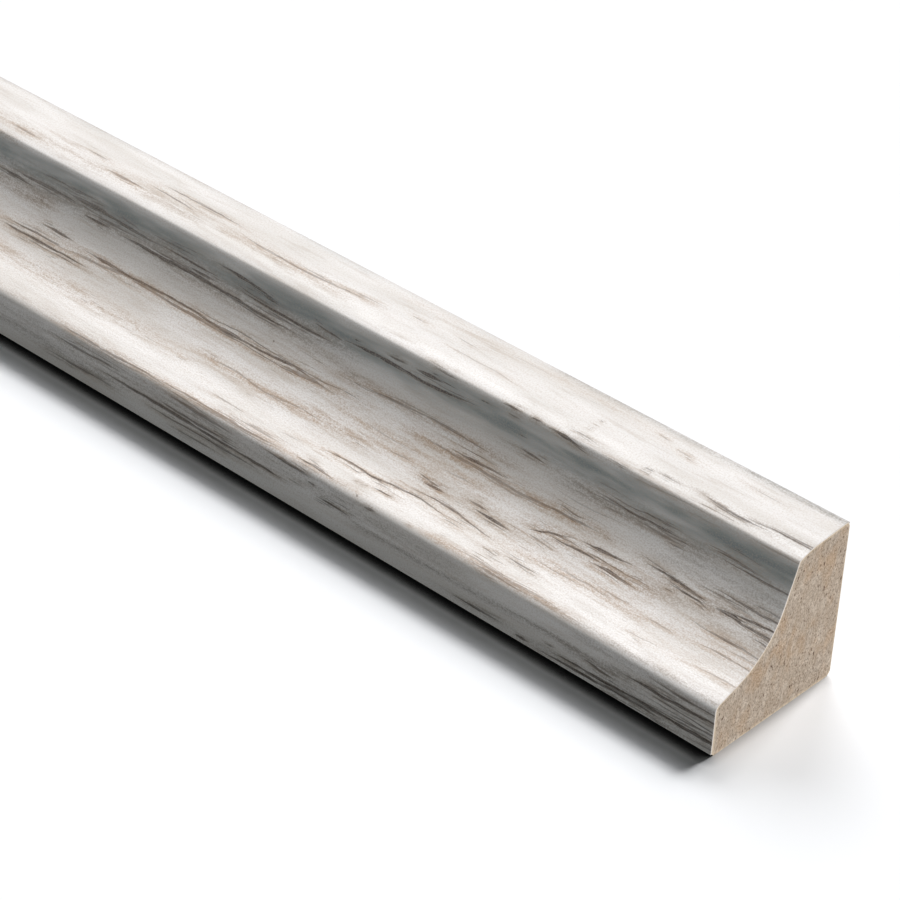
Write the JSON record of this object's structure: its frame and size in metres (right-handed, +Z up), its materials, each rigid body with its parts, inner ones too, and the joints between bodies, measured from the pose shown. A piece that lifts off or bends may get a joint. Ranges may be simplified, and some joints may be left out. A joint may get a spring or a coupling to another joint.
{
  "type": "scotia moulding",
  "caption": "Long wood-effect scotia moulding with a concave face, to cover the expansion gap between a laid floor and a skirting board.",
  "frame": {"origin": "under the middle of the bar, on the plane of its base", "axes": "+X along the bar, +Y out of the flat back, +Z up from the base; the hollow face and the lip look towards -Y"},
  "size_m": [2.4, 0.019, 0.019],
  "materials": {
    "mdf": "matte",
    "decor_foil": "satin"
  },
  "bodies": {
    "root": {"mdf_core": "mdf", "foil_wrap": "decor_foil"}
  },
  "joints": []
}
